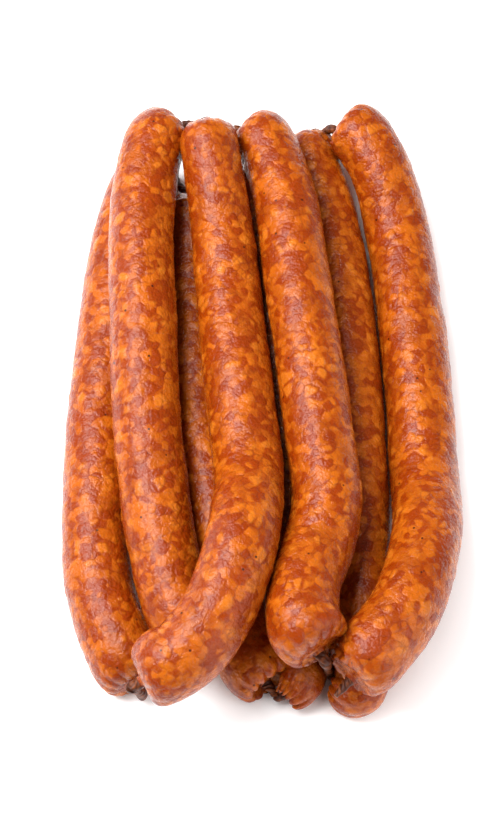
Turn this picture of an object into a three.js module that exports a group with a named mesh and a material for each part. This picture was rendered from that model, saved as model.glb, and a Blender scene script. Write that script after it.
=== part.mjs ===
// A string of smoked, cured sausages folded back and forth into a hank, lying on a table.
// Millimetres. X runs across the hank, Y along it, Z up, and the table is z = 0.
// Eight links of one casing are joined end to end by twists of that casing. Five lie on the table
// and three lie in the grooves between them. Nothing is hinged: the string only bends.
import * as THREE from "three";

// Driving sizes.
const linkDiameter = 26; // a stuffed link at its middle
const linkLength = 250; // along a usual link, from neck to neck
const roundDome = 15; // over which a plump end rounds down to its neck
const slimDome = 23; // over which a more slackly filled end does
const domeFullness = 2.2; // 2 is a round dome, and more makes it squarer
const roundBluntness = 0.5; // 0.5 meets the neck squarely, and 1 runs in to it like a cone
const neckDiameter = 4.6; // the gathered casing at a link's end
const neckLength = 1.6; // of straight neck before the dome begins
const ringChord = 14; // over which a link's bend is evened out where its end hooks round
const neckDroop = 0.55; // how far a neck hangs below its link's middle, as a share of its narrowing
const twistDiameter = 4; // the twisted casing between two links
const twistReach = 3; // how far a twist runs straight out of a link before it turns
const twistSag = 1; // how far a twist's slack hangs as it turns
const tailLength = 8; // the dried casing left past the string's first and last links
const tailDiameter = 3.4; // of that tail at its cut end
const girthShare = 0.4; // share of a link over which its end's thickness blends into its middle's
const seatDepth = 0.5; // how far a link flattens under its own weight on the table
const pieceGap = 0.3; // clear space between two pieces that touch
const stiffReach = 16; // a link starts to rise this far before what it has to clear

// The lays below were set out for a link of this diameter and length, and stretch with the real one.
const layDiameter = 26;
const layLength = 250;

// How finely the shapes are drawn.
const linkSides = 16;
const domeRings = 6;
const bodyRings = 26;
const laySteps = 100;
const twistSides = 8;
const twistSteps = 12;

const sausage = { color: 0xa8481c, roughness: 0.42, metalness: 0 };
const underSausage = { color: 0x7d3116, roughness: 0.45, metalness: 0 };
const driedCasing = { color: 0xb98a5c, roughness: 0.6, metalness: 0 };

// The string in order, from its first link to its last. A lay lists where the link's centreline runs on
// the table, seen from above, from the neck towards the link before it to the neck towards the link
// after it. girths are its thickness at its start, middle and end, as shares of linkDiameter, and domes
// the lengths of its rounded start and end.
// layer is the order in which the links were laid down: a link rests on the table and on those before it.
const links = [
  {
    name: "link_1_upper_left",
    layer: 6,
    material: sausage,
    girths: [1.02, 1.02, 0.97],
    domes: [roundDome, roundDome],
    lay: [[-24, -98], [-31, -87], [-37, -65], [-43, -28], [-47, 30], [-48, 85], [-43, 115], [-34, 124]],
  },
  {
    name: "link_2_front",
    layer: 8,
    material: sausage,
    girths: [0.89, 1.03, 1.07],
    domes: [roundDome, roundDome],
    lay: [[-22, 120], [-21, 108], [-17, 82], [-10, 15], [-5, -45], [-12, -85], [-25, -108], [-45, -119]],
  },
  {
    name: "link_3_lower_left",
    layer: 1,
    material: underSausage,
    girths: [1.02, 1.02, 1],
    domes: [roundDome, roundDome],
    lay: [[-47, -111], [-53, -100], [-63, -70], [-65, -19], [-62, 35], [-57, 83], [-50, 108], [-41, 118]],
  },
  {
    name: "link_4_hidden_left",
    layer: 2,
    material: underSausage,
    girths: [0.92, 0.98, 0.86],
    domes: [roundDome, roundDome],
    lay: [[-31, 102], [-30, 90], [-29, 60], [-25, 0], [-18, -46], [-11, -80], [-6, -98], [2, -109]],
  },
  {
    name: "link_5_hidden_right",
    layer: 3,
    material: underSausage,
    girths: [0.66, 0.98, 0.95],
    domes: [slimDome, roundDome],
    lay: [[9, -113], [15, -109], [16, -84], [9, -30], [5, 35], [0, 80], [-4, 104], [-8, 115]],
  },
  {
    name: "link_6_upper_middle",
    layer: 7,
    material: sausage,
    girths: [0.95, 1.02, 1.07],
    domes: [roundDome, roundDome],
    lay: [[-8, 124], [0, 118], [9, 93], [15, 48], [22, -10], [25, -50], [16, -84], [16, -99], [22, -109]],
  },
  {
    name: "link_7_lower_right",
    layer: 4,
    material: underSausage,
    girths: [0.93, 0.95, 0.92],
    domes: [slimDome, roundDome],
    lay: [[29, -107], [36, -112], [39, -92], [38, -35], [34.6, 40], [28.2, 92], [22, 121], [22, 135]],
  },
  {
    name: "link_8_right",
    layer: 5,
    material: sausage,
    girths: [0.97, 1.03, 1.06],
    domes: [roundDome, roundDome],
    lay: [[33, 131], [41, 126], [53, 103], [61.5, 44], [64.5, -20], [63.5, -59], [53, -92], [33, -116]],
  },
];

// A link's radius before its ends round off, at share t of the way along it.
function girthAt(link, t) {
  const { lerp, smoothstep } = THREE.MathUtils;
  const [start, middle, end] = link.girths;
  const towardsMiddle = lerp(start, middle, smoothstep(t, 0, girthShare));
  return (linkDiameter / 2) * lerp(towardsMiddle, end, smoothstep(t, 1 - girthShare, 1));
}

// A link's true radius at share t of a link of this length: a neck, a dome, the body, a dome, a neck.
function radiusAt(link, t, length) {
  const fromEnd = Math.min(t, 1 - t) * length - neckLength;
  const neckRadius = neckDiameter / 2;
  if (fromEnd <= 0) return neckRadius;
  const dome = t < 0.5 ? link.domes[0] : link.domes[1];
  const climb = 1 - Math.min(fromEnd / dome, 1);
  const bluntness = (roundBluntness * dome) / roundDome;
  return neckRadius + (girthAt(link, t) - neckRadius) * (1 - climb ** domeFullness) ** bluntness;
}

// The centreline seen from above, stretched to the real link.
function layCurve(link) {
  const across = linkDiameter / layDiameter;
  const along = linkLength / layLength;
  return new THREE.CatmullRomCurve3(link.lay.map(([x, y]) => new THREE.Vector3(x * across, y * along, 0)));
}

// The lowest height at which a point clears the table by tableRadius, and by its radius every link laid.
function heightNeeded(point, tableRadius, radius, laid) {
  let height = tableRadius - seatDepth;
  for (const under of laid) {
    under.stations.forEach((station, k) => {
      const reach = radius + under.radii[k] + pieceGap;
      const apart = Math.hypot(point.x - station.x, point.y - station.y);
      if (apart < reach) height = Math.max(height, station.z + Math.sqrt(reach ** 2 - apart ** 2));
    });
  }
  return height;
}

// The values within reach of place k, fewer at either end of the list.
function nearby(values, k, reach) {
  return values.slice(Math.max(k - reach, 0), k + reach + 1);
}

// Lays a link down. It sags onto what is under it, but rises and falls gently: its height is the average,
// over a stretch, of the greatest height needed nearby, which is never less than what is needed.
// Its necks hang a little below that level line, as far as what is under them allows.
function layDown(link, laid) {
  const plan = layCurve(link);
  const length = plan.getLength();
  const stations = plan.getSpacedPoints(laySteps);
  const girths = stations.map((_, k) => girthAt(link, k / laySteps));
  const radii = stations.map((_, k) => radiusAt(link, k / laySteps, length));
  const needed = stations.map((p, k) => heightNeeded(p, girths[k], radii[k], laid));
  const reach = Math.round((stiffReach / length) * laySteps);
  const greatest = needed.map((_, k) => Math.max(...nearby(needed, k, reach)));
  const level = stations.map((p, k) => {
    const around = nearby(greatest, k, reach);
    return p.clone().setZ(around.reduce((sum, height) => sum + height, 0) / around.length);
  });
  stations.forEach((p, k) => {
    const hanging = level[k].z - neckDroop * (girths[k] - radii[k]);
    p.setZ(Math.max(hanging, heightNeeded(p, radii[k], radii[k], laid)));
  });
  const [curve, levelCurve] = [stations, level].map((points) => new THREE.CatmullRomCurve3(points));
  return { link, stations, radii, curve, levelCurve };
}

// Where rings go on a neck and a dome, as shares of the link's length from its end, closest at the neck.
function domeShares(dome, length) {
  const shares = [neckLength / length];
  for (let k = 1; k <= domeRings; k++) {
    shares.push((neckLength + dome * (1 - Math.cos(((k / domeRings) * Math.PI) / 2))) / length);
  }
  return shares;
}

// Where a link's rings go from one neck to the other, as shares of its length.
function ringShares({ domes }, length) {
  const start = domeShares(domes[0], length);
  const finish = domeShares(domes[1], length).map((share) => 1 - share);
  const body = [];
  for (let k = 1; k < bodyRings; k++) {
    body.push(THREE.MathUtils.lerp(start[start.length - 1], finish[finish.length - 1], k / bodyRings));
  }
  return [0, ...start, ...body, ...finish.reverse(), 1];
}

// Which way a ring of a bent link faces: along a chord of its level line, so that where a link hooks round
// at its end the rings turn gently, as a filled casing does, and don't cut into each other.
function ringDirection({ levelCurve }, share) {
  const reach = ringChord / 2 / levelCurve.getLength();
  const behind = levelCurve.getPointAt(Math.max(share - reach, 0));
  return levelCurve.getPointAt(Math.min(share + reach, 1)).sub(behind).normalize();
}

// Moves a point of a straight link, standing along Y from 0 to 1, to where the bent link has it. Spokes are
// turned by half a side, so that each flat side of the underside lies level, and the table stops them.
function bentPlace(straight, placed) {
  const share = THREE.MathUtils.clamp(straight.y, 0, 1);
  const forward = ringDirection(placed, share);
  const side = new THREE.Vector3(0, 0, 1).cross(forward).normalize();
  const rise = new THREE.Vector3().crossVectors(forward, side);
  const centre = new THREE.Vector2();
  const spoke = new THREE.Vector2(straight.z, straight.x).rotateAround(centre, Math.PI / linkSides);
  const place = placed.curve.getPointAt(share).addScaledVector(side, spoke.x).addScaledVector(rise, spoke.y);
  return place.setZ(Math.max(place.z, 0));
}

// One link: a lathe turned about Y, then bent along its centreline and flattened on the table.
function linkGeometry(placed) {
  const { link } = placed;
  const length = placed.curve.getLength();
  const profile = ringShares(link, length).map((t) => new THREE.Vector2(radiusAt(link, t, length), t));
  const closed = [new THREE.Vector2(0, 0), ...profile, new THREE.Vector2(0, 1)];
  const geometry = new THREE.LatheGeometry(closed, linkSides);
  const places = geometry.getAttribute("position");
  for (let i = 0; i < places.count; i++) {
    const place = bentPlace(new THREE.Vector3().fromBufferAttribute(places, i), placed);
    places.setXYZ(i, place.x, place.y, place.z);
  }
  geometry.computeVertexNormals();
  return geometry;
}

// Where a piece of casing leaves a link's neck, and which way: end 0 is the link's start, 1 its end.
function neckPole(placed, end) {
  const outward = ringDirection(placed, end).multiplyScalar(end === 0 ? -1 : 1);
  return { at: placed.curve.getPointAt(end).addScaledVector(outward, pieceGap), outward };
}

// A point this far straight out of a neck.
function pointAlong({ at, outward }, distance) {
  return at.clone().addScaledVector(outward, distance);
}

// A round strand of casing along a curve.
function strandGeometry(curve, diameter) {
  const section = new THREE.Shape().absarc(0, 0, diameter / 2, 0, 2 * Math.PI);
  return new THREE.ExtrudeGeometry(section, {
    steps: twistSteps,
    curveSegments: twistSides,
    extrudePath: curve,
    bevelEnabled: false,
  });
}

// The twist between two links leaves one neck straight, turns, and enters the other straight.
function twistGeometry(from, to) {
  const start = neckPole(from, 1);
  const finish = neckPole(to, 0);
  const leaving = [0, twistReach / 2, twistReach].map((distance) => pointAlong(start, distance));
  const entering = [twistReach, twistReach / 2, 0].map((distance) => pointAlong(finish, distance));
  const slack = leaving[2].clone().lerp(entering[0], 0.5);
  slack.z -= twistSag;
  return strandGeometry(new THREE.CatmullRomCurve3([...leaving, slack, ...entering]), twistDiameter);
}

// The short dried end of the casing past the first or the last link.
function tailGeometry(link, end) {
  const pole = neckPole(link, end);
  return strandGeometry(new THREE.LineCurve3(pole.at, pointAlong(pole, tailLength)), tailDiameter);
}

function named(name, geometry, look) {
  const mesh = new THREE.Mesh(geometry, new THREE.MeshStandardMaterial(look));
  mesh.name = name;
  return mesh;
}

const laid = [];
for (const link of [...links].sort((a, b) => a.layer - b.layer)) laid.push(layDown(link, laid));
const string = links.map((link) => laid.find((placed) => placed.link === link));

const hank = new THREE.Group();
for (const placed of string) hank.add(named(placed.link.name, linkGeometry(placed), placed.link.material));
for (let k = 1; k < string.length; k++) {
  hank.add(named(`casing_twist_${k}_to_${k + 1}`, twistGeometry(string[k - 1], string[k]), driedCasing));
}
hank.add(named("casing_end_first", tailGeometry(string[0], 0), driedCasing));
hank.add(named("casing_end_last", tailGeometry(string[string.length - 1], 1), driedCasing));

// The hank's box is centred over the origin.
const middle = new THREE.Box3().setFromObject(hank, true).getCenter(new THREE.Vector3());
hank.position.set(-middle.x, -middle.y, 0);

export default hank;
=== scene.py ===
"""The looks of a string of smoked, cured sausages folded into a hank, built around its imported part."""
import math

import bpy
import numpy as np
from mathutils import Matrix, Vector


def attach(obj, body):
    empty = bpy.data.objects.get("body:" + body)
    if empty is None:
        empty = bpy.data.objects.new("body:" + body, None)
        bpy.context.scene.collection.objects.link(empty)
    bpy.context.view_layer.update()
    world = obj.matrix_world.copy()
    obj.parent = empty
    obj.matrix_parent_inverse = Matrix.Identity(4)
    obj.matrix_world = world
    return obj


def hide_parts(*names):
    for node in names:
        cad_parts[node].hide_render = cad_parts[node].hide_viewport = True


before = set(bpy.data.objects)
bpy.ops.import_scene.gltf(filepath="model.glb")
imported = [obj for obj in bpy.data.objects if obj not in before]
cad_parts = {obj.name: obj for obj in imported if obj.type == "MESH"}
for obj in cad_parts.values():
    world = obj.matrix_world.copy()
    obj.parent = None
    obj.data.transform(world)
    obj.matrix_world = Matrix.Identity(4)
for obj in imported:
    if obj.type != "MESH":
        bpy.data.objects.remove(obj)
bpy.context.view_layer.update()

MM = 0.001

# The string's sizes in millimetres, as its part has them. A dome is named by its length, a girth share is how
# much of a link its change of girth takes, and the seat is how far a link sinks flat on the table.
LINK_DIAMETER = 26.0
ROUND_DOME = 15.0
SLIM_DOME = 23.0
DOME_FULLNESS = 2.2
ROUND_BLUNTNESS = 0.5
NECK_RADIUS = 2.3
NECK_LENGTH = 1.6
NECK_DROOP = 0.55
RING_CHORD = 14.0
TWIST_REACH = 3.0
TWIST_SAG = 1.0
TAIL_LENGTH = 8.0
GIRTH_SHARE = 0.4
SEAT_DEPTH = 0.5
PIECE_GAP = 0.3
STIFF_REACH = 16.0
LAY_STEPS = 100
PLAN_MIDDLE = np.array([-0.07, 6.442, 0.0])  # of the hank's box, which the part moves to the origin

# Each link's name, the order in which it is laid down, its girths and its domes, then how strongly its casing
# is pleated at each end, how far in millimetres each end puckers out round its neck, and its lay from above.
LINKS = [
    ("link_1_upper_left", 6, (1.02, 1.02, 0.97), (ROUND_DOME, ROUND_DOME), (0.5, 0.6), (1.5, 1.9),
     [(-24, -98), (-31, -87), (-37, -65), (-43, -28), (-47, 30), (-48, 85), (-43, 115), (-34, 124)]),
    ("link_2_front", 8, (0.89, 1.03, 1.07), (ROUND_DOME, ROUND_DOME), (0.4, 0.4), (1.4, 1.4),
     [(-22, 120), (-21, 108), (-17, 82), (-10, 15), (-5, -45), (-12, -85), (-25, -108), (-45, -119)]),
    ("link_3_lower_left", 1, (1.02, 1.02, 1), (ROUND_DOME, ROUND_DOME), (0.5, 0.5), (1.6, 1.6),
     [(-47, -111), (-53, -100), (-63, -70), (-65, -19), (-62, 35), (-57, 83), (-50, 108), (-41, 118)]),
    ("link_4_hidden_left", 2, (0.92, 0.98, 0.86), (ROUND_DOME, ROUND_DOME), (0.6, 0.55), (1.6, 5.5),
     [(-31, 102), (-30, 90), (-29, 60), (-25, 0), (-18, -46), (-11, -80), (-6, -98), (2, -109)]),
    ("link_5_hidden_right", 3, (0.66, 0.98, 0.95), (SLIM_DOME, ROUND_DOME), (0.5, 0.6), (6.0, 1.6),
     [(9, -113), (15, -109), (16, -84), (9, -30), (5, 35), (0, 80), (-4, 104), (-8, 115)]),
    ("link_6_upper_middle", 7, (0.95, 1.02, 1.07), (ROUND_DOME, ROUND_DOME), (0.4, 0.45), (1.5, 2.4),
     [(-8, 124), (0, 118), (9, 93), (15, 48), (22, -10), (25, -50), (16, -84), (16, -99), (22, -109)]),
    ("link_7_lower_right", 4, (0.93, 0.95, 0.92), (SLIM_DOME, ROUND_DOME), (0.9, 0.6), (4.5, 1.6),
     [(29, -107), (36, -112), (39, -92), (38, -35), (34.6, 40), (28.2, 92), (22, 121), (22, 135)]),
    ("link_8_right", 5, (0.97, 1.03, 1.06), (ROUND_DOME, ROUND_DOME), (0.6, 0.5), (1.8, 2.2),
     [(33, 131), (41, 126), (53, 103), (61.5, 44), (64.5, -20), (63.5, -59), (53, -92), (33, -116)]),
]

# A link's skin, in millimetres. The radius is the one from which the meat shows in full.
PLUMPNESS = 0.28  # how much a real link fills out past its part's flat sides
FULL_RADIUS = 9.0
FAT_SIZE = 4.8
FAT_RISE = 0.16
SEAM_DEPTH = 0.07
WANDER = 0.9
WANDER_SIZE = 3.5
# Lumps, then wrinkles: how high, how large, how much shorter along the link, and their lattice layer.
BUMPS = [(0.36, 17, 1, 1), (0.26, 8, 1, 2), (0.10, 3.2, 1.3, 3), (0.09, 1.5, 1, 4)]

# A link's ends, in millimetres from the end.
PLEAT_REACH = 5.5
PLEAT_DEPTH = 0.16  # as a share of the radius there
PUCKER_PLACE = 5.5
PUCKER_WIDTH = 4.5
SWELL_PLACE = 8.5
SWELL_WIDTH = 5.5
PRESS_GAP = 0.03
PRESS_REACH = 3.0

# Bare casing, in millimetres: radii at even places along a twist and a free end, which start in the necks.
TWIST_RADII = (2.3, 1.8, 1.3, 1.8, 2.3)
TAIL_RADII = (2.3, 1.7, 1.4, 0.9)
TWIST_TURNS = 2.5
TAIL_TURNS = 1.2
NECK_OVERLAP = 1.0
KNOB_SIZE = 1.6
NO_STRAND_WAY = [0.31, 0.12, 0.94]  # no strand runs this way

# How finely the looks are drawn: rings and sides, and how far apart a link's rings are at its ends and along
# its body, compared with each other.
RINGS = 470
SIDES = 160
STRAND_RINGS = 90
STRAND_SIDES = 48
END_SPACING = 0.15
BODY_SPACING = 0.6
SPACING_REACH = 22.0
CURVE_STEPS = 24
SLOPE_STEP = 0.002

LATTICE = 32
CHANCE = np.random.default_rng(4).random((LATTICE, LATTICE, LATTICE, 5))  # for noise and for pieces of meat
JITTER_LAYERS = (1, 2, 3)
TONE_LAYER = 4


def smoothstep(x, low, high):
    """0 below low, 1 above high, eased between: 3t squared less 2t cubed."""
    t = np.clip((x - low) / (high - low), 0, 1)
    return t * t * (3 - 2 * t)


def unit(v):
    """Vectors of length one."""
    return v / np.linalg.norm(v, axis=-1, keepdims=True)


def chance_at(cell, layer):
    """The lattice's number at whole-number places, repeating past its far side."""
    i, j, k = np.moveaxis(cell % LATTICE, -1, 0)
    return CHANCE[i, j, k, layer]


def noise(q, size, layer=0):
    """Value noise from -1 to 1: the lattice's numbers at the 8 corners round q, blended by eased weights."""
    p = q / size
    low = np.floor(p).astype(int)
    w = p - low
    w = w * w * (3 - 2 * w)
    total = 0
    for corner in np.ndindex(2, 2, 2):
        share = np.prod(np.where(np.array(corner) == 1, w, 1 - w), axis=-1)
        total = total + share * chance_at(low + np.array(corner), layer)
    return 2 * total - 1


def mosaic(q, size):
    """Meat pieces: space is split by nearness to one jittered point in each cube of the lattice.
    Returns how far inside its piece each q is, in cube sides, and its piece's own number."""
    p = q / size
    home = np.floor(p).astype(int)
    near = np.full(q.shape[:-1], np.inf)
    second = near.copy()
    tone = np.zeros(q.shape[:-1])
    for step in np.ndindex(3, 3, 3):
        cell = home + np.array(step) - 1
        jitter = np.stack([chance_at(cell, axis) for axis in JITTER_LAYERS], axis=-1)
        apart = np.linalg.norm(cell + jitter - p, axis=-1)
        closer = apart < near
        second = np.where(closer, near, np.minimum(second, apart))
        tone = np.where(closer, chance_at(cell, TONE_LAYER), tone)
        near = np.minimum(near, apart)
    return second - near, tone


def centripetal(controls, t):
    """A centripetal Catmull-Rom curve through the controls: between two of them, a cubic whose end slopes
    weigh each chord by the square root of its length. The ends are carried on straight."""
    p = np.vstack([2 * controls[:1] - controls[1:2], controls, 2 * controls[-1:] - controls[-2:-1]])
    i = np.minimum(t.astype(int), len(controls) - 2)
    w = (t - i)[:, None]
    a, b, c, d = p[i], p[i + 1], p[i + 2], p[i + 3]
    ab, bc, cd = (np.sqrt(np.linalg.norm(step, axis=1, keepdims=True)) for step in (b - a, c - b, d - c))
    leave = ((b - a) / ab - (c - a) / (ab + bc) + (c - b) / bc) * bc
    enter = ((c - b) / bc - (d - b) / (bc + cd) + (d - c) / cd) * bc
    bend = 3 * (c - b) - 2 * leave - enter
    return b + w * leave + w**2 * bend + w**3 * (2 * (b - c) + leave + enter)


def along(controls, shares):
    """Places and directions at shares of that curve's length, and the length."""
    last = len(controls) - 1
    fine = np.linspace(0, last, CURVE_STEPS * last + 1)
    steps = np.linalg.norm(np.diff(centripetal(controls, fine), axis=0), axis=1)
    run = np.concatenate([[0], np.cumsum(steps)])
    t = np.interp(np.asarray(shares) * run[-1], run, fine)
    ahead = centripetal(controls, np.minimum(t + SLOPE_STEP, last))
    behind = centripetal(controls, np.maximum(t - SLOPE_STEP, 0))
    return centripetal(controls, t), unit(ahead - behind), run[-1]


def girth(girths, t):
    """Radius before the ends round off: start blends into middle and middle into end, eased."""
    start, middle, end = girths
    blend = start + (middle - start) * smoothstep(t, 0, GIRTH_SHARE)
    return LINK_DIAMETER / 2 * (blend + (end - blend) * smoothstep(t, 1 - GIRTH_SHARE, 1))


def radius(girths, domes, t, length):
    """Neck, dome, body, dome, neck. A dome climbs from the neck's radius to the girth as (1 - c^f)^b, where c
    falls from 1 at the neck to 0 at the dome's foot, f is its fullness and b its bluntness."""
    from_end = np.minimum(t, 1 - t) * length - NECK_LENGTH
    dome = np.where(t < 0.5, domes[0], domes[1])
    climb = 1 - np.clip(from_end / dome, 0, 1)
    rise = (1 - climb**DOME_FULLNESS) ** (ROUND_BLUNTNESS * dome / ROUND_DOME)
    return NECK_RADIUS + (girth(girths, t) - NECK_RADIUS) * rise


def height_needed(place, table_radius, own_radius, laid):
    """The height at which each place clears the table and, side by side as circles, every station laid."""
    height = table_radius - SEAT_DEPTH
    for stations, _, radii in laid:
        reach = own_radius[:, None] + radii[None] + PIECE_GAP
        apart = np.linalg.norm(place[:, None, :2] - stations[None, :, :2], axis=-1)
        over = stations[None, :, 2] + np.sqrt(np.maximum(reach**2 - apart**2, 0))
        height = np.maximum(height, np.where(apart < reach, over, -np.inf).max(axis=1))
    return height


def nearby(values, reach, choose):
    """Chooses, for each value, from those within reach of it, fewer at the ends."""
    count = len(values)
    return np.array([choose(values[max(k - reach, 0) : k + reach + 1]) for k in range(count)])


def lay_down(girths, domes, lay, laid):
    """A link's stations, its level line and its radii: the level is the average of the greatest height needed
    nearby, and the necks hang a little below it."""
    plan = np.array([(x, y, 0) for x, y in lay], float)
    shares = np.linspace(0, 1, LAY_STEPS + 1)
    stations, _, length = along(plan, shares)
    wide = girth(girths, shares)
    radii = radius(girths, domes, shares, length)
    reach = round(STIFF_REACH / length * LAY_STEPS)
    greatest = nearby(height_needed(stations, wide, radii, laid), reach, np.max)
    level = stations.copy()
    level[:, 2] = nearby(greatest, reach, np.mean)
    hanging = level[:, 2] - NECK_DROOP * (wide - radii)
    stations[:, 2] = np.maximum(hanging, height_needed(stations, radii, radii, laid))
    return stations, level, radii


def ring_directions(level, shares):
    """Which way rings face: along chords of the level line."""
    reach = RING_CHORD / 2 / along(level, [0])[2]
    behind = along(level, np.maximum(np.asarray(shares) - reach, 0))[0]
    ahead = along(level, np.minimum(np.asarray(shares) + reach, 1))[0]
    return unit(ahead - behind)


def lay_all():
    """Every link laid down, lowest layer first, with the middle of the hank's plan moved to the origin."""
    laid = {}
    for name, _, girths, domes, _, _, lay in sorted(LINKS, key=lambda link: link[1]):
        laid[name] = lay_down(girths, domes, lay, list(laid.values()))
    for name, (stations, level, radii) in laid.items():
        laid[name] = (stations - PLAN_MIDDLE, level - PLAN_MIDDLE, radii)
    return laid


LAID = lay_all()


def closed_mesh(name, grid, fields, material):
    """A piece from rings of points: quads between the rings, and a fan from each end ring to its own middle.
    Fields are numbers on the points that its material reads."""
    rings, sides = grid.shape[:2]
    points = np.vstack([grid.reshape(-1, 3), grid[0].mean(0), grid[-1].mean(0)]) * MM
    ring, side = np.meshgrid(np.arange(rings - 1), np.arange(sides), indexing="ij")
    here = ring * sides + side
    beside = ring * sides + (side + 1) % sides
    quads = np.stack([here, beside, beside + sides, here + sides], axis=-1).reshape(-1, 4)
    rim = np.arange(sides)
    first, last = rings * sides, rings * sides + 1
    start = np.stack([np.full(sides, first), (rim + 1) % sides, rim], axis=-1)
    finish = np.stack([np.full(sides, last), rim, (rim + 1) % sides], axis=-1)
    finish[:, 1:] += (rings - 1) * sides
    mesh = bpy.data.meshes.new(name)
    mesh.from_pydata(points.tolist(), [], quads.tolist() + start.tolist() + finish.tolist())
    mesh.shade_smooth()
    for label, values in fields.items():
        full = np.concatenate([values.ravel(), [values[0].mean(), values[-1].mean()]])
        mesh.attributes.new(label, "FLOAT", "POINT").data.foreach_set("value", full.astype(np.float32))
    mesh.materials.append(material)
    piece = bpy.data.objects.new(name, mesh)
    bpy.context.scene.collection.objects.link(piece)
    return piece


def ring_shares(length):
    """Ring places along a link, a quarter as far apart at the necks as in the body: even steps of the sum of
    one over the spacing."""
    fine = np.linspace(0, length, 4000)
    from_end = np.minimum(fine, length - fine)
    density = 1 / (END_SPACING + (BODY_SPACING - END_SPACING) * smoothstep(from_end, 0, SPACING_REACH))
    run = np.concatenate([[0], np.cumsum(density[:-1])])
    return np.interp(np.linspace(0, run[-1], RINGS), run, fine) / length


def press_apart(grid, centre, radii, others):
    """Where a link would go into another, both are pressed flat on the surface half way between them."""
    for stations, _, other_radii in others:
        apart = np.linalg.norm(centre[:, None] - stations[None], axis=-1)
        near = (apart - other_radii[None]).min(axis=1) < radii + PRESS_REACH
        if not near.any():
            continue
        points = grid[near]
        flat = points.reshape(-1, 3)
        square = (flat**2).sum(1)[:, None] + (stations**2).sum(1)[None] - 2 * flat @ stations.T
        touch = (np.sqrt(np.maximum(square, 0)) - other_radii[None]).argmin(axis=1)
        direction = unit(np.gradient(stations, axis=0))[touch]
        away = flat - stations[touch]
        away = away - (away * direction).sum(1, keepdims=True) * direction
        distance = np.linalg.norm(away, axis=1, keepdims=True)
        depth = np.maximum(other_radii[touch][:, None] + PLUMPNESS - distance, 0)
        flat = flat + away / np.maximum(distance, 1e-6) * (depth / 2 + PRESS_GAP * (depth > 0))
        grid[near] = flat.reshape(points.shape)
    return grid


def bell(x, place, width):
    """1 at place, falling off on both sides as e to the minus (distance over width) squared."""
    return np.exp(-(((x - place) / width) ** 2))


def meat_skin(straight):
    """How much fat shows at each point and how high its skin is, from its place in the unbent link: fat
    stands a little proud, seams between pieces lie lower, and lumps and wrinkles of value noise are added."""
    wander = np.stack([noise(straight + shift, WANDER_SIZE) for shift in (0, 40, 80)], axis=-1)
    inside, tone = mosaic(straight + WANDER * wander, FAT_SIZE)
    edge = smoothstep(inside, 0.0, 0.45)
    fat = smoothstep(tone, 0.5, 1.0) * edge
    skin = FAT_RISE * fat - SEAM_DEPTH * (1 - edge)
    for height, size, squeeze, layer in BUMPS:
        skin = skin + height * noise(straight * [1, 1, squeeze], size, layer)
    return fat, skin


def folds(number, angle, from_end):
    """Pleats round a link, 0 in a crease and 1 on a ridge: the size of a sine of the angle, made uneven by
    two slower sines, and turning a little with the distance from the end."""
    uneven = 0.5 * np.sin(2 * angle + number) + 0.35 * np.sin(3 * angle + 2.1 * number)
    return np.abs(np.sin((5.5 + number % 3) * (angle[None] + 0.03 * from_end[:, None]) + uneven[None]))


def link_piece(number, link, material):
    """A link: rings of its radius round its centreline, plus the skin over its meat, pleats that gather into
    each neck, a swell of each dome, and a pucker, which pushes the dome outwards in a ring round its neck.
    Pleats, swell and pucker fade as bell curves of the distance from the end."""
    name, _, girths, domes, pleating, puckers, _ = link
    stations, level, _ = LAID[name]
    shares = ring_shares(along(stations, [0])[2])
    centre, _, length = along(stations, shares)
    forward = ring_directions(level, shares)
    side = unit(np.cross([0, 0, 1], forward))
    rise = np.cross(forward, side)
    base = radius(girths, domes, shares, length)
    angle = np.linspace(0, 2 * math.pi, SIDES, endpoint=False)
    spoke = np.stack([np.cos(angle), np.sin(angle)], axis=-1)
    run = np.broadcast_to((shares * length)[:, None, None], (RINGS, SIDES, 1))
    straight = np.concatenate([base[:, None, None] * spoke[None], run], axis=-1)
    fat, relief = meat_skin(straight + np.array([37.0, 11.0, 53.0]) * number)  # each link from its own meat
    from_end = np.minimum(shares, 1 - shares) * length
    fold = folds(number, angle, from_end)
    gather = np.where(shares < 0.5, *pleating) * bell(from_end, NECK_LENGTH, PLEAT_REACH)
    pleats = gather[:, None] * (fold - 0.6) * PLEAT_DEPTH * base[:, None]
    reach = np.where(shares < 0.5, *puckers)
    pucker = reach * bell(from_end, PUCKER_PLACE, PUCKER_WIDTH) * smoothstep(from_end, NECK_LENGTH, 4)
    swell = 0.5 * reach * bell(from_end, SWELL_PLACE, SWELL_WIDTH)
    body = smoothstep(base, NECK_RADIUS, FULL_RADIUS)[:, None]
    full = base[:, None] + body * (PLUMPNESS + relief + swell[:, None]) + pleats
    outwards = spoke[None, :, :1] * side[:, None] + spoke[None, :, 1:] * rise[:, None]
    away = forward * np.where(shares < 0.5, -1, 1)[:, None]
    pushed = (pucker[:, None] * (0.88 + 0.24 * fold))[..., None] * away[:, None]
    grid = centre[:, None] + full[..., None] * outwards + pushed
    grid = press_apart(grid, centre, base, [LAID[other[0]] for other in LINKS if other[0] != name])
    grid[..., 2] = np.maximum(grid[..., 2], 0)
    # The crease field marks the pleats' creases, which the material darkens as painted shade.
    piece = closed_mesh(name, grid, {"fat": fat, "crease": gather[:, None] * (1 - fold)}, material)
    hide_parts(name)
    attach(piece, "root")


def neck_pole(name, end):
    """Where casing leaves a neck, and which way is out: end 0 is the link's start, 1 its end."""
    place = along(LAID[name][0], [float(end)])[0][0]
    return place, ring_directions(LAID[name][1], [float(end)])[0] * (1 if end else -1)


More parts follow.
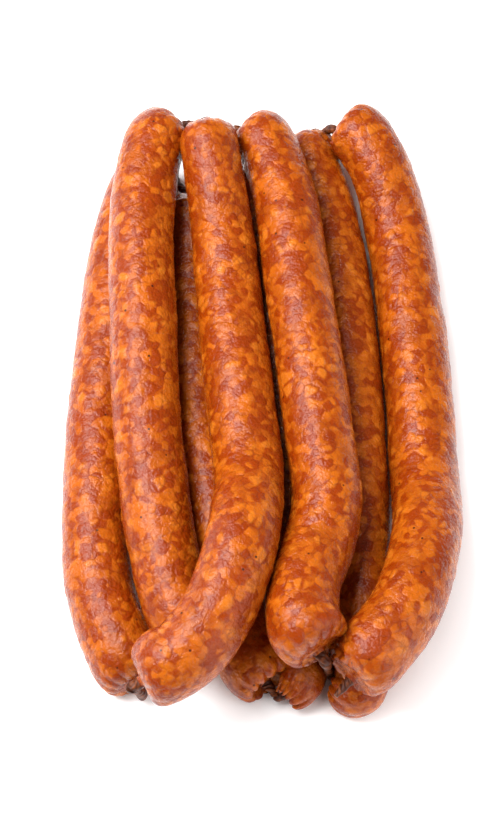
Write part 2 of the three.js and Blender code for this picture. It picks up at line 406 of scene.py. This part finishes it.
def strand_piece(name, controls, thickness, material, turns):
    """A strand of twisted casing: rings along its path, whose outline is the size of a sine of twice the
    angle, made uneven by two more sines, and turns round the path as it goes. Value noise adds knobs, and
    thickness is given at evenly spaced places along it."""
    shares = np.linspace(0, 1, STRAND_RINGS)
    centre, forward, length = along(np.array(controls), shares)
    across = unit(np.cross(forward, NO_STRAND_WAY))
    over = np.cross(forward, across)
    angle = np.linspace(0, 2 * math.pi, STRAND_SIDES, endpoint=False)
    size = np.interp(shares, np.linspace(0, 1, len(thickness)), thickness)[:, None]
    phase = angle[None] + 2 * math.pi * turns * shares[:, None]
    lobes = 0.16 * np.abs(np.sin(2 * phase)) + 0.08 * np.sin(3 * phase + 1) + 0.05 * np.sin(7 * phase)
    spin = np.stack([np.cos(angle), np.sin(angle)], axis=-1)[None]
    straight = np.broadcast_arrays(size * spin[..., 0], size * spin[..., 1], length * shares[:, None])
    full = size * (0.9 + lobes + 0.10 * noise(np.stack(straight, axis=-1), KNOB_SIZE, 2))
    outwards = spin[..., :1] * across[:, None] + spin[..., 1:] * over[:, None]
    grid = centre[:, None] + full[..., None] * outwards
    grid[..., 2] = np.maximum(grid[..., 2], 0)
    # The crease field marks the strand's folds, which the material darkens as painted shade.
    piece = closed_mesh(name, grid, {"crease": 1 - smoothstep(lobes, 0, 0.16)}, material)
    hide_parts(name)
    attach(piece, "root")


def linear(code):
    """An sRGB hex value as linear colour with alpha."""
    channels = [((code >> shift) & 255) / 255 for shift in (16, 8, 0)]
    return [c / 12.92 if c <= 0.04045 else ((c + 0.055) / 1.055) ** 2.4 for c in channels] + [1.0]


def add_node(tree, kind, inputs=(), out=0, **settings):
    """Adds a shader node with its settings and links, and gives back one of its outputs, by name or place.
    Each input, by name or place, is a socket to link, an sRGB hex colour or a plain value."""
    node = tree.nodes.new("ShaderNode" + kind)
    for key, value in settings.items():
        setattr(node, key, value)
    for key, value in dict(inputs).items():
        socket = node.inputs[key]
        if isinstance(value, bpy.types.NodeSocket):
            tree.links.new(value, socket)
        elif socket.type == "RGBA" and isinstance(value, int):
            socket.default_value = linear(value)
        else:
            socket.default_value = value
    return node.outputs[out]


# Settings of a Map Range node that eases input 0 from the range 1 to 2 into the range 3 to 4 and holds it at
# their ends, and of a Mix node that gives colour 6 where input 0 is 0 and colour 7 where it is 1.
EASED = {"interpolation_type": "SMOOTHSTEP"}
COLOURS = {"data_type": "RGBA", "out": 2}


def start_material(name):
    """An empty node material, its tree and its output."""
    material = bpy.data.materials.new(name)
    material.use_nodes = True
    tree = material.node_tree
    tree.nodes.clear()
    return material, tree, tree.nodes.new("ShaderNodeOutputMaterial")


def per_mm(size):
    """A texture's scale for features of this many millimetres, on coordinates in metres."""
    return 1000.0 / size


def smoked_casing():
    """Natural casing, stuffed, smoked and dried: a thin glossy skin that clings to coarse-ground meat, whose
    amber fat and red-brown lean show through it softly."""
    material, tree, output = start_material("natural casing, smoked over coarse-ground meat")
    place = add_node(tree, "TexCoord", out="Object")
    # Noise moves places about by up to 1.1 mm each way, so that pieces of meat have uneven outlines.
    warp = add_node(tree, "TexNoise", {"Vector": place, "Scale": per_mm(3.0), "Detail": 2.0}, "Color")
    shift = add_node(tree, "VectorMath", {0: warp, 1: (0.5, 0.5, 0.5)}, operation="SUBTRACT")
    shift = add_node(tree, "VectorMath", {0: shift, "Scale": 0.0022}, operation="SCALE")
    loose = add_node(tree, "VectorMath", {0: place, 1: shift}, operation="ADD")
    # Ground meat, in pieces of 3.2 mm: each has its own tone of lean, patches are redder, and fat is amber.
    meat = {"Vector": loose, "Scale": per_mm(3.2)}
    pieces = add_node(tree, "TexVoronoi", {**meat, "Smoothness": 0.6}, "Color", feature="SMOOTH_F1")
    borders = add_node(tree, "TexVoronoi", meat, "Distance", feature="DISTANCE_TO_EDGE")
    tone = add_node(tree, "SeparateColor", {0: pieces})
    lean = add_node(tree, "MapRange", {0: tone, 1: 0.2, 2: 0.8}, **EASED)
    colour = add_node(tree, "Mix", {0: lean, 6: 0x8A3203, 7: 0xB0560D}, **COLOURS)
    blotch = add_node(tree, "TexNoise", {"Vector": place, "Scale": per_mm(11.0), "Detail": 3.0})
    redder = add_node(tree, "MapRange", {0: blotch, 1: 0.42, 2: 0.68, 3: 0.0, 4: 0.5}, **EASED)
    colour = add_node(tree, "Mix", {0: redder, 6: colour, 7: 0x7A2A05}, **COLOURS)
    fat = add_node(tree, "Attribute", out="Fac", attribute_name="fat")
    amber = add_node(tree, "MapRange", {0: fat, 1: 0.0, 2: 1.0, 3: 0.0, 4: 0.75}, **EASED)
    colour = add_node(tree, "Mix", {0: amber, 6: colour, 7: 0xC26A1A}, **COLOURS)
    # Thin dark lines of lean between some of the pieces.
    some = add_node(tree, "TexNoise", {"Vector": place, "Scale": per_mm(6.0), "Detail": 1.0})
    some = add_node(tree, "MapRange", {0: some, 1: 0.45, 2: 0.65, 3: 0.0, 4: 0.45}, **EASED)
    line = add_node(tree, "MapRange", {0: borders, 1: 0.0, 2: 0.16, 3: 1.0, 4: 0.0}, **EASED)
    line = add_node(tree, "Math", {0: line, 1: some}, operation="MULTIPLY")
    colour = add_node(tree, "Mix", {0: line, 6: colour, 7: 0x6A210A}, **COLOURS)
    # Specks of pepper, about a millimetre across, in one cell of every five.
    specks = add_node(tree, "TexVoronoi", {"Vector": place, "Scale": per_mm(5.0)}, "Distance", feature="F1")
    rare = add_node(tree, "SeparateColor", {0: specks.node.outputs["Color"]}, 1)
    rare = add_node(tree, "MapRange", {0: rare, 1: 0.8, 2: 0.82}, **EASED)
    speck = add_node(tree, "MapRange", {0: specks, 1: 0.06, 2: 0.13, 3: 1.0, 4: 0.0}, **EASED)
    speck = add_node(tree, "Math", {0: speck, 1: rare}, operation="MULTIPLY")
    colour = add_node(tree, "Mix", {0: speck, 6: colour, 7: 0x3A1408}, **COLOURS)
    # Painted shade: the creases of the pleats are darkened.
    crease = add_node(tree, "Attribute", out="Fac", attribute_name="crease")
    crease_shade = add_node(tree, "MapRange", {0: crease, 1: 0.1, 2: 0.8, 3: 0.0, 4: 0.5}, **EASED)
    colour = add_node(tree, "Mix", {0: crease_shade, 6: colour, 7: 0x5E1E06}, **COLOURS)
    # Fine drying wrinkles break up the gloss.
    fine = add_node(tree, "TexNoise", {"Vector": place, "Scale": per_mm(1.1), "Detail": 3.0})
    inside = add_node(tree, "MapRange", {0: borders, 1: 0.0, 2: 0.3, 3: 0.0, 4: 0.3}, **EASED)
    relief = add_node(tree, "Math", {0: fine, 1: inside}, operation="ADD")
    shader = add_node(tree, "BsdfPrincipled", {
        "Base Color": colour,
        "Roughness": add_node(tree, "MapRange", {0: fine, 1: 0.35, 2: 0.7, 3: 0.18, 4: 0.34}, **EASED),
        "Normal": add_node(tree, "Bump", {"Height": relief, "Strength": 0.8, "Distance": 0.0005}),
        "IOR": 1.4,
        "Specular IOR Level": 0.27,
        "Subsurface Weight": 0.12,
        "Subsurface Radius": (1.0, 0.35, 0.12),
        "Subsurface Scale": 0.002,
        "Coat Weight": 0.06,
        "Coat Roughness": 0.2,
    })
    tree.links.new(shader, output.inputs["Surface"])
    return material


def twisted_casing():
    """Bare natural casing, twisted and dried: satin brown skin, darkened down in its folds as painted shade.
    """
    material, tree, output = start_material("natural casing, twisted and dried")
    place = add_node(tree, "TexCoord", out="Object")
    patch = add_node(tree, "TexNoise", {"Vector": place, "Scale": per_mm(2.5), "Detail": 3.0})
    brown = add_node(tree, "MapRange", {0: patch, 1: 0.35, 2: 0.65}, **EASED)
    colour = add_node(tree, "Mix", {0: brown, 6: 0x40190A, 7: 0x743A14}, **COLOURS)
    # Painted shade: the folds are darkened.
    crease = add_node(tree, "Attribute", out="Fac", attribute_name="crease")
    fold_shade = add_node(tree, "MapRange", {0: crease, 1: 0.2, 2: 1.0, 3: 0.0, 4: 0.8}, **EASED)
    shader = add_node(tree, "BsdfPrincipled", {
        "Base Color": add_node(tree, "Mix", {0: fold_shade, 6: colour, 7: 0x3A1709}, **COLOURS),
        "Roughness": 0.5,
        "Normal": add_node(tree, "Bump", {"Height": patch, "Strength": 0.5, "Distance": 0.0003}),
        "IOR": 1.45,
        "Specular IOR Level": 0.3,
    })
    tree.links.new(shader, output.inputs["Surface"])
    return material


def out_of_neck(name, end, *distances):
    """Places this far straight out of a link's neck."""
    place, outward = neck_pole(name, end)
    return [place + outward * distance for distance in distances]


def sausage_string():
    """All the links, the twists between them, which leave one neck straight, sag and enter the other, and the
    free end at either end of the string."""
    casing = smoked_casing()
    twist = twisted_casing()
    for number, link in enumerate(LINKS):
        link_piece(number, link, casing)
    for number in range(1, len(LINKS)):
        outs = out_of_neck(LINKS[number - 1][0], 1, -NECK_OVERLAP, TWIST_REACH / 2, TWIST_REACH)
        ins = out_of_neck(LINKS[number][0], 0, TWIST_REACH, TWIST_REACH / 2, -NECK_OVERLAP)
        slack = (outs[-1] + ins[0]) / 2 - np.array([0, 0, TWIST_SAG])
        name = f"casing_twist_{number}_to_{number + 1}"
        strand_piece(name, [*outs, slack, *ins], TWIST_RADII, twist, TWIST_TURNS)
    for name, link, end in (("casing_end_first", LINKS[0], 0), ("casing_end_last", LINKS[-1], 1)):
        path = out_of_neck(link[0], end, -NECK_OVERLAP, TAIL_LENGTH / 3, TAIL_LENGTH)
        strand_piece(name, path, TAIL_RADII, twist, TAIL_TURNS)


def backdrop():
    """A plain white table that glows as painted light: a little in the open, as an overexposed ground would
    look, and not in the gaps between the links or close beside them, which leaves painted shade there."""
    half, low = 12.0, -0.0002
    corners = [(x * half, y * half, low) for x, y in ((-1, -1), (1, -1), (1, 1), (-1, 1))]
    mesh = bpy.data.meshes.new("table")
    mesh.from_pydata(corners, [], [(0, 1, 2, 3)])
    material, tree, output = start_material("white laminate table")
    # Painted light: the table glows where it is open and not near the links, which paints shade beside them.
    openness = add_node(tree, "AmbientOcclusion", {"Distance": 0.06}, "AO", samples=8)
    painted_glow = add_node(tree, "MapRange", {0: openness, 1: 0.3, 2: 0.8, 3: 0.0, 4: 0.6}, **EASED)
    shader = add_node(tree, "BsdfPrincipled", {
        "Base Color": (0.93, 0.93, 0.93, 1),
        "Roughness": 0.6,
        "Emission Color": (1, 1, 1, 1),
        "Emission Strength": painted_glow,
    })
    tree.links.new(shader, output.inputs["Surface"])
    mesh.materials.append(material)
    table = bpy.data.objects.new("table", mesh)
    bpy.context.scene.collection.objects.link(table)


def soft_light(name, place, size, power, target=(0, 0, 0.02)):
    """A square softbox at place that faces target."""
    light = bpy.data.lights.new(name, "AREA")
    light.size = size
    light.energy = power
    lamp = bpy.data.objects.new(name, light)
    lamp.location = place
    lamp.rotation_euler = (Vector(target) - Vector(place)).to_track_quat("-Z", "Y").to_euler()
    bpy.context.scene.collection.objects.link(lamp)


def studio():
    """Dim white room light all round, a softbox high on the left and a weaker one low on the right."""
    world = bpy.data.worlds.new("white room")
    world.use_nodes = True
    background = world.node_tree.nodes["Background"]
    background.inputs["Color"].default_value = (1, 1, 1, 1)
    background.inputs["Strength"].default_value = 0.2
    bpy.context.scene.world = world
    soft_light("softbox left", (-0.48, 0.12, 0.86), 0.7, 21.5)
    soft_light("softbox right", (0.75, -0.5, 0.6), 0.9, 7.5)


def camera():
    """The camera, on the near side, looking down at 65 degrees at the middle of the hank."""
    slope, distance = math.radians(65), 0.9
    target = Vector((0.00007, -0.006442, 0.018))
    eye = bpy.data.objects.new("camera", bpy.data.cameras.new("camera"))
    eye.data.sensor_width = 36
    eye.data.lens = 97.239
    eye.data.shift_x = -0.0132
    eye.data.shift_y = -0.0042
    eye.location = target + distance * Vector((0, -math.cos(slope), math.sin(slope)))
    eye.rotation_euler = (math.radians(90) - slope, 0, 0)
    bpy.context.scene.collection.objects.link(eye)
    bpy.context.scene.camera = eye
    bpy.context.scene.view_settings.view_transform = "Standard"


sausage_string()
backdrop()
studio()
camera()
